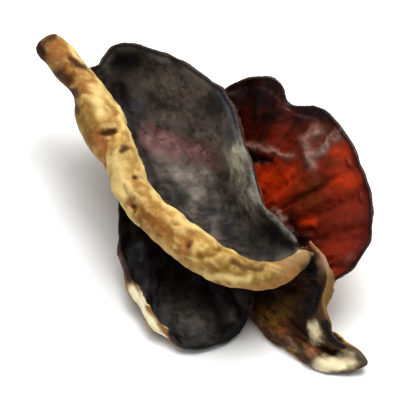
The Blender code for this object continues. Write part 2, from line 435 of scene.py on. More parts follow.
# each point of the skin takes over what the nearest shell points know that face its own way
handOver = {
    "nearest": 16,  # this many shell points have a say
    "slack": 0.15,  # how far from its own way a point may face
    "least": 0.02,  # and what say it has at least
    "blur": 0.01,  # in mm2, so that one very near point doesn't have all the say
}
skin = evened(skin, 1)
normals = skinNormals(skin)
tree = kdtree.KDTree(len(points))
for i, p in enumerate(points.tolist()):
    tree.insert(p, i)
tree.balance()
near = np.zeros((len(skin), handOver["nearest"]), int)
away = np.zeros((len(skin), handOver["nearest"]))
for i, p in enumerate(skin.tolist()):
    for k, found in enumerate(tree.find_n(p, handOver["nearest"])):
        near[i, k] = found[1]
        away[i, k] = found[2]
agree = np.einsum("ikj,ij->ik", facing[near], normals)
weights = np.clip(agree + handOver["slack"], handOver["least"], 1) ** 2 / (away**2 + handOver["blur"])
knows = np.einsum("ik,ikj->ij", weights, facts[near]) / weights.sum(1, keepdims=True)
shares = factNames.index("outward")  # the places on the lobe, from here on, would smear and stay as they are
knows[:, :shares] = evened(knows[:, :shares], 2)
onCup, onEar, onFront, onTail, onKnot, under, toMargin, outward, sideways, reach = knows.T

# places seen square on, for what drying has done in one spot only, and for painted highlights and shade
drift = {  # keeps marks from being drawn straight, in mm
    "warpSize": 3.0,
    "wobbleSize": 1.4,
    "strokeWobble": 0.5,
    "strokeWarp": 0.4,
}
towards = np.array([0, -math.cos(lean), math.sin(lean)])
toCamera = normals @ towards  # 1 faces the camera, -1 faces away
under = np.maximum(under, onTail * ramp(toCamera, -0.2, -0.45))  # small folds don't bare the tail's dark side
shows = ramp(toCamera, -0.3, 0.1)
# the last number that perlin gets, here and below, only moves a pattern so that no two line up
warp = np.stack([perlin(skin, drift["warpSize"], shift) for shift in (11.3, 27.1, 43.7)], -1)
wobble = np.stack([perlin(skin, drift["wobbleSize"], shift) for shift in (3.9, 57.2)], -1)
seen = np.stack([skin[:, 0], skin[:, 1] * math.sin(lean) + skin[:, 2] * math.cos(lean)], -1)
across, up = seen.T
wobbled = seen + drift["strokeWobble"] * wobble + drift["strokeWarp"] * warp[:, :2]


def stroke(width, places):  # 1 on the line through the places, or on the one place, and fading away from it
    nearest = np.linalg.norm(wobbled - places[0], axis=1)
    for a, b in zip(places, places[1:]):
        a, b = np.array(a), np.array(b)
        share = np.clip((wobbled - a) @ (b - a) / ((b - a) @ (b - a)), 0, 1)
        nearest = np.minimum(nearest, np.linalg.norm(wobbled - a - share[:, None] * (b - a), axis=1))
    return np.exp(-((nearest / width) ** 2))


dark = 1 - under
rolled = onCup * under * ramp(outward, 0.32, 0.44)  # the outside of the cup's near wall, up to the curl's lip
parts = {
    "strip": rolled * shows,
    "wall": onCup * dark * shows,
    "ear": onEar * dark,
    "front": onFront * shows,
    "tail": onTail * ramp(toCamera, -0.05, 0.2),
}
# each mark: layer of paint or none, how far it is raised in mm, its width in mm, its places
marks = {
    "strip": [
        ("stain", -0.5, 0.6, [(-10.5, 13.2), (-9.8, 13.5), (-9.2, 13.4)]),
        ("rosy", -0.4, 0.5, [(-10.9, 12.6), (-10.6, 11.0), (-10.4, 9.0)]),
        ("tawny", -0.35, 0.4, [(-7.8, 6.0), (-7.0, 4.4), (-6.2, 3.0)]),
        ("stain", -0.1, 0.4, [(-6.6, 3.6)]),
        ("stain", -0.1, 1.7, [(-19.9, 25.8), (-19.4, 23.6)]),
        ("stain", -0.1, 0.9, [(-18.6, 26.5), (-17.4, 26.7)]),
        ("black", 0, 1.3, [(-20.0, 25.4), (-19.5, 23.2)]),
        ("stain", -0.15, 0.7, [(-15.2, 23.4), (-14.2, 22.5), (-13.2, 22.1)]),
        ("stain", 0, 1.1, [(-16.6, 21.2), (-15.4, 20.4)]),
        ("stain", -0.1, 0.9, [(-14.6, 18.6), (-14.2, 16.4)]),
        ("stain", -0.15, 0.55, [(-7.6, 10.8)]),
        ("stain", -0.15, 0.55, [(-6.1, 7.2)]),
        ("stain", -0.2, 0.7, [(0.9, -1.8)]),
        ("tawny", 0, 1.7, [(-17.0, 25.0), (-14.6, 21.8)]),
        ("tawny", 0, 1.0, [(14.6, -5.8), (15.8, -5.0)]),
        ("tawny", 0, 1.2, [(-11.7, 13.6), (-11.2, 11.8)]),
        ("tawny", 0, 1.2, [(-5.0, 2.6), (-2.2, 0.0)]),
        ("rosy", 0.1, 1.4, [(-17.6, 24.4)]),
        # a painted pinkish highlight
        ("rosy", 0.1, 1.2, [(-13.3, 19.4)]),
        ("rosy", -0.25, 0.9, [(0.3, -1.2), (0.0, -2.8)]),
        ("rosy", 0, 1.0, [(12.8, -3.9)]),
        ("greyTan", 0, 1.5, [(13.8, -4.4), (16.2, -3.3)]),
        ("rosy", 0, 0.6, [(-5.1, -0.3), (-1.8, -4.1), (2.0, -6.0), (7.3, -7.9), (10.3, -7.9),
                          (15.2, -5.6)]),
        ("olive", 0, 1.8, [(-12.6, 14.4)]),
        ("olive", 0, 1.1, [(-7.3, 9.4)]),
        ("olive", -0.45, 0.6, [(2.4, -3.2), (3.8, -2.5), (5.2, -1.9)]),
        ("umber", -0.45, 0.65, [(6.6, -4.1), (8.6, -4.6), (10.2, -4.6)]),
        ("olive", 0, 2.4, [(5.4, -4.8), (11.4, -5.6)]),
        ("olive", 0, 1.4, [(13.6, -4.6), (15.4, -3.8)]),
        ("oliveDark", 0, 0.8, [(16.6, -4.8), (17.2, -3.8)]),
        # painted highlights on the rolled margin: lit spots, its top edge and its lower belly
        ("creamHighlight", 0, 1.0, [(-11.6, 19.0), (-10.8, 16.2)]),
        ("creamHighlight", 0, 1.4, [(-8.6, 9.4), (-7.6, 5.6)]),
        ("creamHighlight", 0.15, 0.55, [(3.4, -5.3), (6.1, -6.1), (8.8, -6.2)]),
        ("creamHighlight", 0.2, 0.4, [(-15.2, 25.0), (-12.4, 22.0), (-10.6, 19.4), (-8.6, 16.6), (-7.6, 13.8),
                             (-5.2, 8.6)]),
        ("creamHighlight", 0.2, 0.5, [(-5.4, 8.2), (-3.6, 5.0), (0.2, 1.5), (4.4, -1.0), (8.0, -2.2), (10.6, -3.5)]),
        ("creamHighlight", 0.2, 0.4, [(10.6, -3.5), (15.4, -2.4)]),
        ("creamHighlight", 0.1, 0.45, [(-8.8, 5.0), (-7.6, 2.8), (-6.2, 0.8)]),
    ],
    "wall": [
        # painted bluish highlight down the far wall's rim, and a bluish spot on the face
        ("blueBand", 0.1, 1.1, [(5.8, 18.4), (6.7, 14.8), (6.9, 11.6)]),
        ("blueBand", 0, 1.3, [(-6.8, 17.0)]),
        # painted highlights along the far wall's rim, on a raised fold: near white, then grey
        ("rimHighlight", 0.25, 0.8, [(7.2, 10.6), (7.4, 8.7)]),
        ("paleGreyHighlight", 0.2, 0.9, [(7.6, 10.8), (7.8, 6.6), (8.6, 3.8)]),
        # pale grey on the far rim and the dark face: painted highlights, and the bloom of dust
        ("bloomAndHighlight", 0.25, 0.7, [(8.2, 6.6), (8.9, 4.0), (10.2, 1.2)]),
        ("bloomAndHighlight", 0, 2.2, [(-4.8, 19.8), (-2.0, 19.9), (1.2, 18.4)]),
        ("bloomAndHighlight", 0, 1.3, [(-1.9, 15.5)]),
        ("bloomAndHighlight", 0, 1.7, [(1.1, 15.5)]),
        ("bloomAndHighlight", 0, 1.8, [(3.2, 13.6), (5.8, 10.8)]),
        ("bloomAndHighlight", 0, 1.3, [(5.6, 14.8)]),
        ("bloomAndHighlight", 0, 1.2, [(1.8, 4.8)]),
        ("bloomAndHighlight", 0, 1.4, [(-0.6, 8.0), (3.6, 7.4)]),
        ("mauve", 0, 1.9, [(-4.6, 13.0), (-2.0, 11.7), (0.6, 11.2), (3.6, 10.6)]),
        # painted pinkish highlights across the mauve patch
        ("rosyHighlight", 0.1, 0.6, [(-4.4, 12.7)]),
        ("rosyHighlight", 0.15, 0.7, [(-2.4, 12.6), (-1.6, 12.2)]),
        ("rosyHighlight", 0.1, 0.6, [(-0.8, 10.9)]),
        ("rosyHighlight", 0.15, 0.7, [(0.8, 10.4), (2.0, 10.8)]),
        ("rosyHighlight", 0.1, 0.5, [(3.4, 10.2)]),
        ("wallShade", 0, 2.6, [(-7.6, 23.4)]),
        ("wallShade", 0, 0.9, [(-8.4, 19.6), (-7.0, 14.2), (-4.4, 8.2), (-1.0, 3.2)]),
        ("wallShade", 0, 1.1, [(-1.4, 6.2), (-0.2, 4.4)]),
        ("wallShade", 0, 2.0, [(11.6, 0.2), (13.4, -1.6)]),
        ("wallShade", 0, 1.1, [(5.4, 0.8), (7.6, -1.2), (10.2, -2.6), (12.2, -2.6)]),
    ],
    "ear": [
        ("earShade", 0, 4.6, [(7.6, 18.6), (12.0, 18.6)]),
        ("earShade", 0, 1.5, [(10.4, 15.4), (13.4, 15.6)]),
        ("earShade", 0, 1.9, [(15.5, 15.8), (19.2, 16.2)]),
        ("earShade", 0, 1.6, [(14.6, -0.4), (16.6, -1.8)]),
        ("amberBrown", 0, 1.8, [(16.9, 6.3), (17.4, 4.0)]),
        ("amberBrown", 0, 1.6, [(20.7, 9.6)]),
        ("garnet", 0, 2.6, [(21.6, 4.4), (20.8, 0.2), (19.4, -3.6)]),
        ("garnet", 0, 1.6, [(17.6, 1.4)]),
        ("amberDeep", 0, 0.9, [(24.2, 6.0), (24.5, 2.0), (23.2, -2.6)]),
        # painted glow where light would shine through the thin lobe
        ("glow", 0, 2.5, [(11.4, 6.8), (12.4, 6.6)]),
        ("glow", 0, 1.5, [(14.2, 7.5)]),
        ("glow", 0, 0.8, [(16.9, 1.2)]),
        ("glow", 0, 0.9, [(13.2, 9.8)]),
        ("glow", 0, 1.7, [(21.6, 7.0)]),
        ("glow", 0, 1.3, [(21.2, 10.6)]),
        # painted shadow in the crevice, which is also cut into the relief
        ("creviceShade", -0.6, 0.7, [(8.0, 10.0), (10.2, 9.5)]),
        ("creviceShade", -0.4, 0.4, [(10.2, 9.5), (11.8, 9.3)]),
        ("", -0.4, 0.45, [(13.6, 1.7), (15.2, 0.2), (17.9, 0.0)]),
        # painted pinkish-grey highlights on the ear's raised wrinkles
        ("ridgeHighlight", 0.35, 0.8, [(17.2, 8.8), (16.9, 10.8), (16.7, 12.0), (18.0, 13.4)]),
        ("ridgeHighlight", 0.35, 0.7, [(17.0, 9.8), (18.6, 10.8), (20.6, 12.9)]),
        ("ridgeHighlight", 0.3, 0.5, [(8.8, 11.4), (11.8, 11.1), (14.4, 9.9)]),
        ("ridgeHighlight", 0.1, 0.45, [(12.6, 2.8), (13.4, 1.8)]),
        ("", 0.2, 0.7, [(14.9, 3.0), (16.2, 5.0), (17.4, 6.8)]),
        ("", 0.2, 0.7, [(15.6, 3.2), (17.6, 4.0), (19.6, 4.6)]),
    ],
    "front": [
        # painted grey highlights on the front lobe, and some dust bloom
        ("bloomAndHighlight", 0, 1.9, [(0.4, -11.0), (2.6, -12.2)]),
        ("bloomAndHighlight", 0, 0.9, [(6.6, -11.1)]),
        # painted bluish highlight
        ("blueBand", 0.1, 0.45, [(-5.7, -1.8), (-5.2, -3.6)]),
        ("stain", -0.2, 0.25, [(-6.4, -10.2), (-5.2, -11.8), (-4.2, -13.2)]),
    ],
    "tail": [
        # painted shadow beside and beyond the tail's curled lip
        ("black", 0, 0.9, [(17.2, -4.6), (17.6, -8.6), (16.6, -10.4)]),
        ("black", -0.3, 0.9, [(19.0, -12.6), (19.8, -14.0), (20.8, -15.0)]),
        ("tailShade", 0, 1.5, [(12.6, -8.2), (15.4, -8.6), (15.9, -10.8)]),
        ("oliveGold", 0, 1.7, [(11.4, -11.4), (12.8, -10.8)]),
        ("amberBrown", 0, 1.5, [(13.4, -13.2)]),
        ("rosy", 0, 0.8, [(13.0, -13.4)]),
        ("rosy", 0, 0.8, [(17.1, -15.6)]),
        ("rosy", 0, 0.9, [(17.4, -1.8), (18.4, -3.0)]),
        ("ridgePale", 0.1, 0.9, [(18.6, -3.4), (19.2, -4.6)]),
        ("stain", 0, 1.0, [(8.8, -10.4), (9.8, -12.6), (13.0, -15.6), (16.4, -17.8)]),
        ("umber", 0, 1.8, [(20.2, -6.2), (19.4, -6.9), (19.6, -9.4), (19.4, -11.4)]),
        # a painted highlight at the foot of the tail's fold; the next stroke is the tip's own pale
        ("tipPale", 0.2, 0.7, [(17.3, -12.2), (17.4, -13.4), (17.8, -14.4)]),
        ("tipPale", 0.1, 1.2, [(18.4, -17.6), (20.4, -17.3), (22.0, -16.9)]),
        ("oliveDark", 0, 1.0, [(23.6, -16.4), (24.6, -16.9)]),
    ],
}
layers = {}
raised = np.zeros(len(skin))
for part, strokes in marks.items():
    for name, height, width, places in strokes:
        drawn = parts[part] * stroke(width, places)
        raised += height * drawn
        if name:
            layers[name] = np.maximum(layers.get(name, 0), drawn)
print("marks drawn:", len(layers), "layers of paint")

# relief: what drying does to the skin, finest last
relief = {  # sizes, distances and heights in mm
    "netWidth": 3.3,  # the veins across the underside leave fields this wide
    "netWarp": 1.6,
    "netLine": 0.6,  # how much of a field its veins take up
    "netPatch": 6.0,  # the net comes and goes in patches this wide
    "netHeight": 0.28,
    "stripNetHeight": 0.06,
    "calm": (0.1, 1.4),  # between these distances from the margin most of the relief begins
    "foldWidth": 2.3,  # the folds that run out from the root on the dark side
    "foldDrift": 3.0,
    "foldPatch": 4.5,
    "foldHeight": 0.07,
    "earFoldHeight": 0.12,
    "creaseSize": (5.0, 1.5),  # along the margin and across it
    "stripCrease": 0.24,
    "otherCrease": 0.1,
    "veinSize": (2.0, 8.0),  # the veins out to the margin: from one to the next, and how long
    "veinPatch": 5.0,
    "veinHeight": 0.3,
    "veinEnds": (0.6, 2.8),
    "wrinkleSize": (2.6, 0.8),
    "stripWrinkle": 0.09,
    "wallWrinkle": 0.05,
    "dentSize": 3.0,
    "stripDent": 0.3,
    "crumpleSize": 1.4,
    "crumpleHeight": 0.1,
    "fuzzSize": 0.55,
    "fuzzHeight": 0.035,
    "stubRidgeSize": 1.5,  # the ridges that run up the stub
    "stubStretch": 0.25,
    "stubRidgeHeight": 0.9,
    "ruffleSize": 2.2,
    "ruffleHeight": 0.3,
    "ruffleReach": 1.6,
    "crestRounds": 16,  # the more, the wider the crests and hollows that get their own colour: paler with painted highlight, darker with painted shade
}
lobeShift = 9.0 * onEar + 17.0 * onFront + 31.0 * onTail  # each lobe has its own stretch of every pattern
inner = ramp(toMargin, *relief["calm"])


def alongMargin(size):  # places for a pattern of this size along the margin and across it
    return np.stack([sideways / size[0], reach / size[1], lobeShift], -1)


netPlace = ((skin + relief["netWarp"] * warp) / relief["netWidth"]).tolist()
gap = np.ones(len(skin))
for i in np.nonzero(under > 0.02)[0]:  # the dark side has no net
    distances = noise.voronoi(netPlace[i])[0]
    gap[i] = distances[1] - distances[0]
net = (1 - np.clip(gap / relief["netLine"], 0, 1)) ** 1.5
net = net * ramp(perlin(skin, relief["netPatch"], 71.0), -0.3, 0.3)
netHeight = relief["netHeight"] + (relief["stripNetHeight"] - relief["netHeight"]) * ramp(rolled, 0.1, 0.6)

fold = np.sin(2 * math.pi * sideways / relief["foldWidth"] + relief["foldDrift"] * warp[:, 0])
fold = fold * ramp(outward, 0.1, 0.4) * inner
fold = fold * (0.4 + 0.6 * ramp(perlin(skin, relief["foldPatch"], 3.3), -0.2, 0.4))
foldHeight = relief["foldHeight"] * (onFront + 0.6 * onCup + onTail) + relief["earFoldHeight"] * onEar

crease = 0.35 - np.abs(perlin(alongMargin(relief["creaseSize"]) + 0.3 * warp, 1.0, 5.1))
creaseHeight = relief["otherCrease"] + (relief["stripCrease"] - relief["otherCrease"]) * rolled

vein = ramp(np.abs(perlin(alongMargin(relief["veinSize"]) + 0.3 * warp, 1.0, 61.3)), 0.4, 0.0)
vein = vein * (1 - ramp(rolled, 0.0, 0.5)) * ramp(perlin(skin, relief["veinPatch"], 47.0), -0.6, 0.2)
vein = vein * (1 - onCup * ramp(sideways, 11.0, 6.0))  # none on the cup's far left end

raised += under * net * netHeight * inner
raised += under * vein * relief["veinHeight"] * ramp(toMargin, *relief["veinEnds"])
raised += dark * fold * foldHeight
lip = rolled * ramp(reach, 10.5, 8.0)
bare = 1 - 0.85 * under * (1 - lip)  # away from the lip the down hides most of the creases
raised += crease * creaseHeight * (0.3 + 0.7 * inner) * (1 - onKnot) * bare
wrinkle = 0.3 - np.abs(perlin(alongMargin(relief["wrinkleSize"]) + 0.4 * warp, 1.0, 91.7))
wrinkleHeight = relief["wallWrinkle"] + relief["stripWrinkle"] * rolled
raised += wrinkle * wrinkleHeight * inner * (1 - onKnot) * bare
raised += perlin(skin, relief["dentSize"], 31.3) * relief["stripDent"] * rolled
raised += perlin(skin, relief["crumpleSize"], 7.7) * relief["crumpleHeight"] * (0.5 + 0.5 * inner)
raised += perlin(skin, relief["fuzzSize"], 19.1) * relief["fuzzHeight"] * (0.4 + 0.6 * under)

stubPlace = skin * np.array([1, 1, relief["stubStretch"]])
stubRidge = 0.25 - np.abs(perlin(stubPlace + 0.3 * warp, relief["stubRidgeSize"], 37.9))
raised += stubRidge * relief["stubRidgeHeight"] * onKnot * ramp(normals[:, 2], -0.8, -0.4)  # not on the cut

ruffle = perlin(np.stack([sideways, 0 * lobeShift, lobeShift], -1), relief["ruffleSize"], 83.0)
ruffle = ruffle * relief["ruffleHeight"] * (1 - ramp(toMargin, 0, relief["ruffleReach"]))
ruffle = ruffle * (1 - rolled) * (dark - under)  # both sides of the sheet go the same way
skin = skin + normals * (raised + ruffle)[:, None]
skin[:, 2] = np.maximum(skin[:, 2], 0)
finalNormals = skinNormals(skin)
# how far each point stands above its surroundings: more than 0 on crests, less in hollows
proud = np.einsum("ij,ij->i", skin - evened(skin, relief["crestRounds"]), finalNormals)
print("relief done", np.percentile(proud, [2, 10, 50, 90, 98]).round(3))

# what the material is told at each point
rims = {  # distances from the margin in mm
    "darkSide": (0.2, 0.7),
    "downEdge": (1.7, 0.5),  # the down stops short of the margin
    "pale": (1.1, 1.5),  # the front lobe's left margin has lost its dark skin
    "paleMiddle": (0.1, 0.6, 1.4, 0.9),
    "veryEdge": (0.9, 0.5),
}
ragged, raggedToo = wobble.T
raggedUp = up + 1.2 * ragged
downEdge = ramp(toMargin + 0.5 * ragged, *rims["downEdge"])
bareRim = (1 - ramp(toMargin, *rims["darkSide"])) * dark + under * downEdge
ribbon = onFront * (1 - ramp(toMargin + 0.3 * raggedToo, *rims["pale"])) * ramp(raggedUp, -15.4, -14.2)
ribbon = ribbon * (1 - ramp(raggedUp, -8.0, -6.6)) * (1 - ramp(across, -2.4, -1.4))
start, full, end, gone = rims["paleMiddle"]
ribbonMiddle = ribbon * ramp(toMargin + 0.3 * ragged, start, full) * ramp(toMargin, end, gone)
cupRim = bareRim * onCup * (1 - ramp(outward, 0.3, 0.4))
greyRim = cupRim * (1 - ramp(up, 11.0, 15.0)) * dark
tailFold = ramp(across, 15.0, 17.0) * ramp(up, -12.4, -11.4)  # pale there, so no brown rim
brownRim = bareRim * onTail * (1 - tailFold) * (1 - layers["tipPale"])
darkRim = np.clip(bareRim * (onEar + onFront) + cupRim - greyRim, 0, 1) * (1 - ribbon)
anyRim = np.clip(darkRim + greyRim + brownRim, 0, 1)
veryEdge = np.maximum(ramp(under, 1.0, 0.7), ramp(toMargin, *rims["veryEdge"]))
flank = normals @ np.array([0.2, 0.6, 0.77])  # 1 where the light from above and behind falls square on
layers.update({
    "underside": ramp(under - 0.65 * anyRim * veryEdge, 0.35, 0.6),
    "earPart": parts["ear"],
    "tailPart": onTail * dark,
    "frontPart": onFront * dark,
    "stub": ramp(onKnot, 0.3, 0.8),
    "ribbon": ribbon,
    "ribbonMiddle": ribbonMiddle,
    "rimGrey": greyRim,
    "rimDark": darkRim * dark,
    "rimBrown": np.clip(brownRim + darkRim * under, 0, 1),
    # painted light where the rolled margin faces the lamps, painted shade where it faces away
    "paintedLitSide": rolled * ramp(flank, 0.6, 0.95),
    "paintedShadedSide": rolled * ramp(flank, 0.5, 0.0),
    # paler on crests: the real ridges' cream and a painted highlight; darker in hollows: the pits' brown and
    # painted shade
    "crestPaleAndHighlight": ramp(proud, 0.0, 0.1) * (0.35 + 0.65 * rolled),
    "hollowBrownAndShade": ramp(proud, 0.0, -0.1),
})
for name, values in layers.items():
    layer = skinMesh.attributes.new(name, "FLOAT", "POINT")
    layer.data.foreach_set("value", np.clip(values, 0, 1).astype(np.float32))
layer = skinMesh.attributes.new("ribPlace", "FLOAT_VECTOR", "POINT")
layer.data.foreach_set("vector", np.stack([sideways, reach, lobeShift], -1).astype(np.float32).ravel())
print("paint layers:", len(layers))

# flat stretches need fewer facets than wrinkled ones
skinMesh.calc_loop_triangles()
lighter = woodEar.modifiers.new("fewerFacets", "DECIMATE")
lighter.ratio = min(1.0, flesh["mostTriangles"] / len(skinMesh.loop_triangles))
depsgraph = bpy.context.evaluated_depsgraph_get()
lightMesh = bpy.data.meshes.new_from_object(woodEar.evaluated_get(depsgraph))
woodEar.modifiers.clear()
woodEar.data = lightMesh
bpy.data.meshes.remove(skinMesh)
lightMesh.name = "driedWoodEar"
lightMesh.calc_loop_triangles()
print("skin in the end:", len(lightMesh.loop_triangles), "triangles")


def linear(hexColour):  # from sRGB
    channels = [int(hexColour[i : i + 2], 16) / 255 for i in (1, 3, 5)]
    return [c / 12.92 if c <= 0.04045 else ((c + 0.055) / 1.055) ** 2.4 for c in channels] + [1.0]


def node(tree, kind, settings=None, links=None):  # a setting is an input, or else a property of the node
    made = tree.nodes.new(kind)
    for name, value in (settings or {}).items():
        if isinstance(name, int) or name in made.inputs:
            made.inputs[name].default_value = value
        else:
            setattr(made, name, value)
    for name, source in (links or {}).items():
        tree.links.new(source, made.inputs[name])
    return made


# air-dried wood ear flesh: a dark, gelatinous upper side that dried to a satin skin with a dusty bloom, and a
# downy tan underside; the thinnest lobe dried clear enough to glow amber red, and that glow is painted in
earFlesh = {
    "dark": "#322d29",
    "darkGrey": "#6f655b",
    "shade": "#0e0c0c",
    # the bloom of dust, and painted highlight
    "bloomAndHighlight": "#a4998b",
    # painted bluish highlight
    "blueBand": "#5e6070",
    # painted highlights on the far rim: grey, then near white
    "paleGreyHighlight": "#c6c1ac",
    "rimHighlight": "#f6f0d2",
    "mauve": "#875656",
    # painted pinkish highlight
    "rosyHighlight": "#b58a88",
    "frontDark": "#0b0b0b",
    "frontGrey": "#2b2829",
    "amberDark": "#350904",
    # painted glow
    "amber": "#842606",
    "paintedGlow": "#c43c06",
    "amberBrown": "#6e3408",
    "amberDeep": "#560b03",
    "garnet": "#842a14",
    "earShade": "#080101",
    # painted highlight
    "ridgeHighlight": "#a98c7e",
    "tailDark": "#1d0f08",
    "tailWarm": "#553412",
    "tailShade": "#0c0402",
    "ridgePale": "#9c7a62",
    "umber": "#563c1d",
    "tawny": "#7e4a14",
    "tipPale": "#f4e2b8",
    "tan": "#8a5e24",
    "pale": "#ba924e",
    # painted highlight, also the cream of the real crests
    "creamHighlight": "#f0d592",
    "mottle": "#583510",
    "olive": "#86692a",
    "oliveGold": "#b58a3c",
    "oliveDark": "#524c34",
    "greyTan": "#8e7252",
    "rosy": "#a86c3e",
    "stain": "#3a180a",
    "ribbon": "#8f6833",
    "ribbonMiddle": "#f8efcc",
    "rimGrey": "#938e86",
    "black": "#090505",
    "stub": "#94703f",
    "stubDark": "#4a3019",
}
grain = {  # how wide the patches on the dried flesh are, in mm
    "bloomPatch": 2.6,
    "frontPatch": 2.0,
    "earStreak": 2.4,  # across the streaks, which are four times as long
    "tailStreak": 1.5,
    "glow": 1.3,
    "downPatch": 3.4,
    "downMottle": 2.4,
    "down": 0.5,  # the hairs stand about 0.05 mm apart, too fine to show, so their tufts are drawn
    "edge": 1.1,
    "dust": 0.9,
    "gloss": 1.2,
    "stub": 0.8,
    "pores": 0.45,  # the real skin's pebbling is nearer 0.1 mm, drawn coarser so that it shows
}
finish = {
    "ior": 1.42,  # dried protein and plant gum lie between 1.4 and 1.5
    "specular": 0.35,
    "sheen": 0.03,
    "satin": (0.38, 0.62),  # roughness of the dark side, from bare skin to dusty skin
    "glossy": (0.22, 0.42),  # roughness of the thin lobe, which dried as clear as glue
    "downy": 0.85,  # roughness of the hairy underside
    "poreStrength": 0.7,
    "poreDepth": 0.14,  # in mm
    "noise": {"Detail": 5.0, "Roughness": 0.6},  # broken up finely, as grown and dried things are
}


def fleshMaterial():
    made = bpy.data.materials.new("airDriedFlesh")
    made.use_nodes = True
    tree = made.node_tree
    tree.nodes.clear()
    inMm = node(tree, "ShaderNodeVectorMath", {"operation": "SCALE", "Scale": 1 / mm},
                {0: node(tree, "ShaderNodeTexCoord").outputs["Object"]}).outputs[0]
    ribPlace = node(tree, "ShaderNodeAttribute", {"attribute_name": "ribPlace"}).outputs["Vector"]
    # streaks are four times as long as they are wide, along the ribs of a lobe or up the stub
    alongRibs = node(tree, "ShaderNodeMapping", {"Scale": (1.0, 0.25, 1.0)}, {"Vector": ribPlace}).outputs[0]
    upright = node(tree, "ShaderNodeMapping", {"Scale": (1.0, 1.0, 0.25)}, {"Vector": inMm}).outputs[0]

    def patches(size, low, high, least=0.0, most=1.0, place=None):  # how thick a patch is at each spot
        settings = {"Scale": 1 / size, **finish["noise"]}
        spots = node(tree, "ShaderNodeTexNoise", settings, {"Vector": place or inMm})
        settings = {"From Min": low, "From Max": high, "To Min": least, "To Max": most}
        settings["interpolation_type"] = "SMOOTHSTEP"
        return node(tree, "ShaderNodeMapRange", settings, {"Value": spots.outputs["Fac"]}).outputs["Result"]

    def over(base, top, share=1.0, layer=None, patch=None):
        # top lies over base where the layer is, as thick as the patch and the share let it
        cover = patch
        if layer:
            cover = node(tree, "ShaderNodeAttribute", {"attribute_name": layer}).outputs["Fac"]
        if layer and patch:
            cover = node(tree, "ShaderNodeMath", {"operation": "MULTIPLY"}, {0: cover, 1: patch}).outputs[0]
        if share < 1:
            settings = {"operation": "MULTIPLY", 1: share}
            cover = node(tree, "ShaderNodeMath", settings, {0: cover}).outputs[0]
        settings = {"data_type": "RGBA"}
        links = {0: cover}
        for socket, value in ((6, base), (7, top)):
            if value in earFlesh:
                settings[socket] = linear(earFlesh[value])
            else:
                links[socket] = value
        return node(tree, "ShaderNodeMix", settings, links).outputs[2]

    settings = {"Scale": 1 / grain["edge"], **finish["noise"]}
    raggedness = node(tree, "ShaderNodeTexNoise", settings, {"Vector": inMm}).outputs["Fac"]
    dust = patches(grain["dust"], 0.2, 0.7)

    def painted(base, name, share=0.9, soft=0.4, ragged=1.0):  # a coat with a ragged edge
        there = node(tree, "ShaderNodeAttribute", {"attribute_name": name}).outputs["Fac"]
        settings = {"operation": "MULTIPLY_ADD", 1: ragged}
        worn = node(tree, "ShaderNodeMath", settings, {0: raggedness, 2: there})
        middle = 0.5 + 0.5 * ragged
        settings = {"From Min": middle - soft, "From Max": middle + soft}
        settings["interpolation_type"] = "SMOOTHSTEP"
        thick = node(tree, "ShaderNodeMapRange", settings, {"Value": worn.outputs[0]}).outputs["Result"]
        settings = {"From Max": 0.3, "interpolation_type": "SMOOTHSTEP"}
        near = node(tree, "ShaderNodeMapRange", settings, {"Value": there}).outputs["Result"]
        thick = node(tree, "ShaderNodeMath", {"operation": "MULTIPLY"}, {0: thick, 1: near}).outputs[0]
        return over(base, name, share, patch=thick)

    # dark side: near black, greyer where the bloom of dried spores lies
    wall = over("dark", "darkGrey", patch=patches(grain["bloomPatch"], 0.36, 0.64))
    # mauve is the skin's own tone; the other three are painted highlights, the grey one also dust bloom
    for name, share in (("mauve", 1.0), ("blueBand", 0.9), ("bloomAndHighlight", 0.66), ("rosyHighlight", 0.6)):
        wall = over(wall, name, share, name, dust)
    wall = over(wall, "shade", 0.8, "wallShade")
    # painted highlights along the far rim
    wall = over(wall, "paleGreyHighlight", 1.0, "paleGreyHighlight", dust)
    wall = over(wall, "rimHighlight", 0.9, "rimHighlight")
    front = over("frontDark", "frontGrey", patch=patches(grain["frontPatch"], 0.42, 0.66))
    # painted highlights on the front lobe, with some dust bloom
    front = over(front, "bloomAndHighlight", 0.4, "bloomAndHighlight", dust)
    front = over(front, "blueBand", 0.8, "blueBand", dust)

    # the thin ear: painted amber where light would get through, maroon where it is doubled up, and a brighter
    # painted glow
    ear = over("amberDark", "amber", patch=patches(grain["earStreak"], 0.27, 0.73, place=alongRibs))
    ear = painted(ear, "amberDeep", 0.8)
    ear = over(ear, "amberBrown", 0.8, "amberBrown", dust)
    ear = over(ear, "garnet", 0.7, "garnet")
    ear = over(ear, "paintedGlow", 1.0, "glow", patches(grain["glow"], 0.25, 0.6, 0.45, 1.0))
    ear = over(ear, "earShade", 1.0, "earShade", patches(grain["edge"], 0.25, 0.5, 0.6, 0.95))
    # painted highlights on the ear's wrinkles
    ear = over(ear, "ridgeHighlight", 0.85, "ridgeHighlight", dust)

    # the tail: brown, warmer along its streaks
    tail = over("tailDark", "tailWarm", patch=patches(grain["tailStreak"], 0.34, 0.7, place=alongRibs))
    for name, share in (("oliveGold", 0.9), ("amberBrown", 0.7), ("tailShade", 1.0)):
        tail = over(tail, name, share, name, dust)

    # underside: down-covered tan, mottled brown, palest on its veins; with painted light and shade by which
    # way it faces, on its crests and in its hollows
    downy = over("tan", "pale", patch=patches(grain["downPatch"], 0.32, 0.7))
    downy = over(downy, "mottle", 0.6, patch=patches(grain["downMottle"], 0.46, 0.76))
    downy = over(downy, "mottle", 0.35, patch=patches(grain["down"], 0.45, 0.75))
    # painted shade and painted light on the rolled margin, by which way it faces
    downy = over(downy, "mottle", 0.3, "paintedShadedSide")
    downy = over(downy, "pale", 0.35, "paintedLitSide")
    # paler crests: their own cream, and painted highlight
    downy = over(downy, "creamHighlight", 0.45, "crestPaleAndHighlight")
    downy = over(downy, "olive", 0.85, "olive", dust)
    downy = over(downy, "greyTan", 0.8, "greyTan")
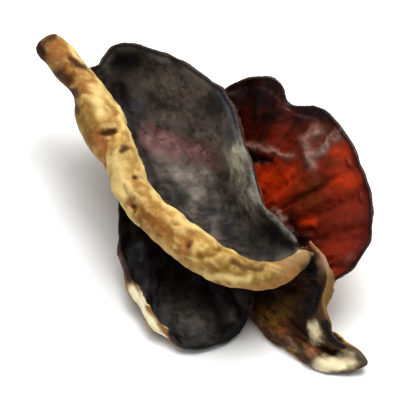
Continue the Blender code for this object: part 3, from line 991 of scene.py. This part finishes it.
    # painted shade in the hollows, with the pits' own brown
    downy = over(downy, "mottle", 0.6, "hollowBrownAndShade")

    # each where its part is, then the rims and the marks, and the woody stub over all
    whole = over(wall, front, 1.0, "frontPart")
    whole = over(whole, ear, 1.0, "earPart")
    whole = over(whole, tail, 1.0, "tailPart")
    whole = over(whole, downy, 1.0, "underside")
    whole = over(whole, "black", 0.9, "rimDark")
    whole = over(whole, "rimGrey", 1.0, "rimGrey", patches(grain["dust"], 0.35, 0.65, 0.2, 0.8))
    whole = over(whole, "stain", 0.75, "rimBrown")
    whole = painted(whole, "ribbon", 0.9, 0.35, 0.6)
    whole = painted(whole, "ribbonMiddle", 0.9, 0.5, 0.8)
    whole = over(whole, "tawny", 0.9, "tawny", dust)
    whole = over(whole, "rosy", 0.8, "rosy", dust)
    whole = over(whole, "umber", 0.75, "umber")
    whole = over(whole, "ridgePale", 0.8, "ridgePale")
    # painted highlights on the rolled margin
    whole = painted(whole, "creamHighlight", 0.55, 0.6)
    whole = painted(whole, "tipPale", 0.85, 0.45)
    whole = painted(whole, "oliveDark", 0.8)
    whole = painted(whole, "black", 0.95, 0.2)
    whole = painted(whole, "stain", 0.88, 0.45)
    # painted shadow in the ear's crevice
    whole = over(whole, "black", 0.95, "creviceShade")
    stub = over("stub", "stubDark", patch=patches(grain["stub"], 0.36, 0.62, place=upright))
    # painted shade in the stub's hollows
    stub = over(stub, "stain", 0.7, "hollowBrownAndShade")
    whole = over(whole, stub, 1.0, "stub")

    onEarPart = node(tree, "ShaderNodeAttribute", {"attribute_name": "earPart"}).outputs["Fac"]
    onUnderside = node(tree, "ShaderNodeAttribute", {"attribute_name": "underside"}).outputs["Fac"]
    satin = patches(grain["gloss"], 0.35, 0.65, *finish["satin"])
    glossy = patches(grain["gloss"], 0.35, 0.65, *finish["glossy"])
    settings = {"data_type": "FLOAT"}
    rough = node(tree, "ShaderNodeMix", settings, {0: onEarPart, 2: satin, 3: glossy}).outputs[0]
    settings = {"data_type": "FLOAT", 3: finish["downy"]}
    rough = node(tree, "ShaderNodeMix", settings, {0: onUnderside, 2: rough}).outputs[0]

    settings = {"Scale": 1 / grain["pores"], **finish["noise"], "Detail": 6.0}
    pores = node(tree, "ShaderNodeTexNoise", settings, {"Vector": inMm}).outputs["Fac"]
    settings = {"Strength": finish["poreStrength"], "Distance": finish["poreDepth"] * mm}
    bump = node(tree, "ShaderNodeBump", settings, {"Height": pores})
    settings = {"IOR": finish["ior"], "Specular IOR Level": finish["specular"]}
    settings["Sheen Weight"] = finish["sheen"]
    shader = node(tree, "ShaderNodeBsdfPrincipled", settings,
                  {"Base Color": whole, "Roughness": rough, "Normal": bump.outputs[0]})
    node(tree, "ShaderNodeOutputMaterial", None, {"Surface": shader.outputs[0]})
    return made


lightMesh.materials.clear()
lightMesh.materials.append(fleshMaterial())
lightMesh.shade_smooth()
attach(woodEar, "root")
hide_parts("wood_ear")
print("flesh material on", woodEar.name)

# floor, light and camera
studio = {
    "floor": "#f4f4f2",
    "floorRoughness": 0.9,
    "floorReach": 1.5,  # lengths of the studio are in m
    "sky": "#f4f9ff",
    "world": 0.46,
    "topPower": 2.2,
    "topSize": 0.6,
    "topPlace": (0.03, 0.1, 0.6),
    "keyPower": 1.3,
    "keySize": 0.3,
    "keyPlace": (0.12, 0.12, 0.5),
    "distance": 0.6,
    "sensor": 36.0,
    "frameWidth": 53.5,  # in mm, where the ear is
    "frameMiddle": (2.4, 4.2, 8.0),  # a place like those on the lobes
}
floorMesh = bpy.data.meshes.new("floor")
wide = studio["floorReach"]
corners = [(-wide, -wide, 0), (wide, -wide, 0), (wide, wide, 0), (-wide, wide, 0)]
floorMesh.from_pydata(corners, [], [(0, 1, 2, 3)])
floor = bpy.data.objects.new("floor", floorMesh)
scene.collection.objects.link(floor)
# uncoated white card: nearly all of the light comes back, and spread wide, so it shows only soft shadows
card = bpy.data.materials.new("matteCard")
card.use_nodes = True
cardShader = card.node_tree.nodes["Principled BSDF"]
cardShader.inputs["Base Color"].default_value = linear(studio["floor"])
cardShader.inputs["Roughness"].default_value = studio["floorRoughness"]
floorMesh.materials.append(card)

sky = bpy.data.worlds.new("softSky")
scene.world = sky
sky.use_nodes = True
sky.node_tree.nodes["Background"].inputs["Color"].default_value = linear(studio["sky"])
sky.node_tree.nodes["Background"].inputs["Strength"].default_value = studio["world"]


def softbox(name, power, size, position):  # aimed at the middle of the table
    lamp = bpy.data.lights.new(name, "AREA")
    lamp.energy = power
    lamp.size = size
    holder = bpy.data.objects.new(name, lamp)
    scene.collection.objects.link(holder)
    holder.location = position
    holder.rotation_euler = (-Vector(position)).to_track_quat("-Z", "Y").to_euler()


softbox("topSoftbox", studio["topPower"], studio["topSize"], studio["topPlace"])
softbox("keySoftbox", studio["keyPower"], studio["keySize"], studio["keyPlace"])

cameraData = bpy.data.cameras.new("camera")
camera = bpy.data.objects.new("camera", cameraData)
scene.collection.objects.link(camera)
scene.camera = camera
cameraData.sensor_width = studio["sensor"]
cameraData.lens = studio["sensor"] * studio["distance"] / (studio["frameWidth"] * mm)
cameraData.clip_start = 0.01
middle = Vector(seat(studio["frameMiddle"]) * mm)
camera.location = middle + Vector(towards) * studio["distance"]
camera.rotation_euler = (-Vector(towards)).to_track_quat("-Z", "Y").to_euler()
scene.view_settings.view_transform = "Standard"
scene.view_settings.look = "Medium High Contrast"
print("studio ready")
